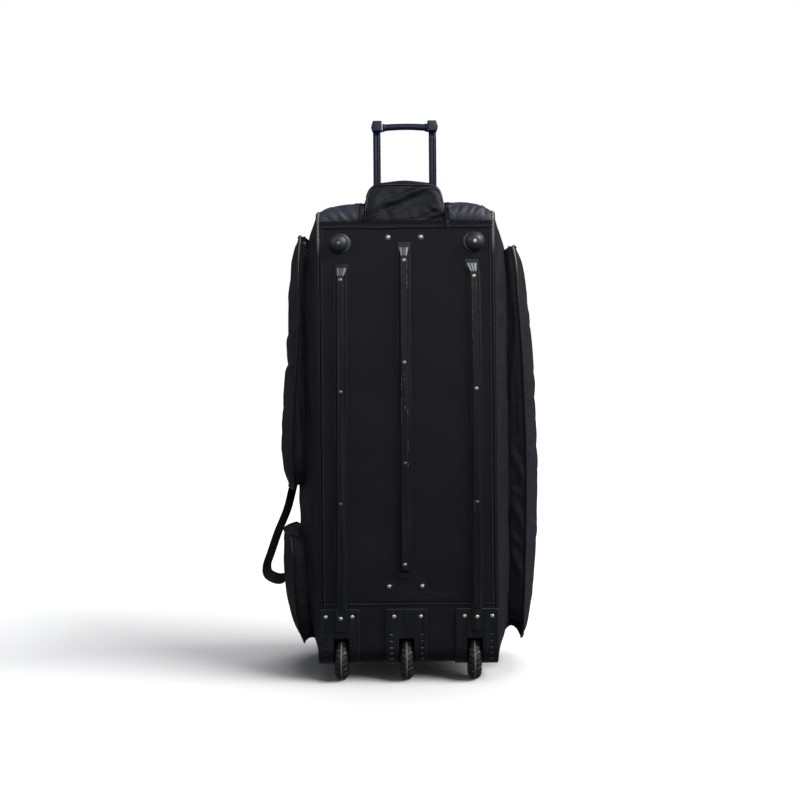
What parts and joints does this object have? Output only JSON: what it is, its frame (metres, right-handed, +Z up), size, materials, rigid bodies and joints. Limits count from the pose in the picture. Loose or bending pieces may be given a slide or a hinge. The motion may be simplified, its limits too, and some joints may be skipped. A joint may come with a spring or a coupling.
{
  "type": "wheeled coffin bag",
  "caption": "Tall coffin bag of black coated cloth standing on end on in-line wheels, with skid rails, domed feet, bulging side pockets, a carry strap and a hooded pull handle.",
  "frame": {"origin": "on the floor, under the middle of the standing bag's box", "axes": "+Z up along the bag, -Y out of the base panel that carries the rails, +X to the right of someone who faces that panel"},
  "size_m": [0.6374, 0.401, 1.2235],
  "materials": {
    "coated_cloth": "coated woven polyester",
    "covered_board": "coated cloth over stiff board",
    "webbing": "ribbed webbing",
    "trim": "vinyl piping and coil zip",
    "moulded_plastic": "satin moulded",
    "handle_plastic": "gloss moulded",
    "handle_tube": "gloss black paint",
    "wheel_rubber": "worn matt",
    "foot_rubber": "matt",
    "steel": "plated"
  },
  "bodies": {
    "bag": {"axle_centre": "steel", "axle_left": "steel", "axle_right": "steel", "base_panel": "covered_board", "bumper_foot_left": "foot_rubber", "bumper_foot_right": "foot_rubber", "carry_strap": "webbing", "frame_bolt_1": "steel", "frame_bolt_2": "steel", "frame_bolt_3": "steel", "frame_bolt_4": "steel", "handle_hood": "coated_cloth", "hood_zip_slider": "handle_plastic", "housing_centre_rivet_1": "steel", "housing_centre_rivet_2": "steel", "housing_left_rivet_1": "steel", "housing_left_rivet_2": "steel", "housing_right_rivet_1": "steel", "housing_right_rivet_2": "steel", "lid_panel": "coated_cloth", "lid_zip": "trim", "piping_left": "trim", "piping_right": "trim", "pocket_left_lower": "coated_cloth", "pocket_left_upper": "coated_cloth", "pocket_right": "coated_cloth", "rail_centre": "moulded_plastic", "rail_centre_rivet_1": "steel", "rail_centre_rivet_2": "steel", "rail_centre_rivet_3": "steel", "rail_centre_rivet_4": "steel", "rail_left": "moulded_plastic", "rail_left_rivet_1": "steel", "rail_left_rivet_2": "steel", "rail_left_rivet_3": "steel", "rail_left_rivet_4": "steel", "rail_right": "moulded_plastic", "rail_right_rivet_1": "steel", "rail_right_rivet_2": "steel", "rail_right_rivet_3": "steel", "rail_right_rivet_4": "steel", "side_panel_left": "coated_cloth", "side_panel_right": "coated_cloth", "stand_foot_left": "moulded_plastic", "stand_foot_right": "moulded_plastic", "top_end_panel": "coated_cloth", "trolley_frame": "moulded_plastic", "wheel_end_panel": "covered_board", "wheel_housing_centre": "moulded_plastic", "wheel_housing_left": "moulded_plastic", "wheel_housing_right": "moulded_plastic"},
    "pull_handle": {"handle_corner_left": "handle_plastic", "handle_corner_right": "handle_plastic", "handle_grip": "handle_plastic", "handle_tube_left": "handle_tube", "handle_tube_right": "handle_tube"},
    "wheel_left_body": {"wheel_left": "wheel_rubber"},
    "wheel_centre_body": {"wheel_centre": "wheel_rubber"},
    "wheel_right_body": {"wheel_right": "wheel_rubber"}
  },
  "joints": [
    {"name": "handle_slide", "type": "slide", "parent": "bag", "child": "pull_handle", "axis": [0, 0, 1], "range_m": [-0.195, 0.24]},
    {"name": "wheel_left_spin", "type": "hinge", "parent": "bag", "child": "wheel_left_body", "pos_m": [-0.12684, -0.15155, 0.044], "axis": [1, 0, 0], "continuous": true},
    {"name": "wheel_centre_spin", "type": "hinge", "parent": "bag", "child": "wheel_centre_body", "pos_m": [0.01516, -0.15155, 0.044], "axis": [1, 0, 0], "continuous": true},
    {"name": "wheel_right_spin", "type": "hinge", "parent": "bag", "child": "wheel_right_body", "pos_m": [0.16316, -0.15155, 0.044], "axis": [1, 0, 0], "continuous": true}
  ]
}
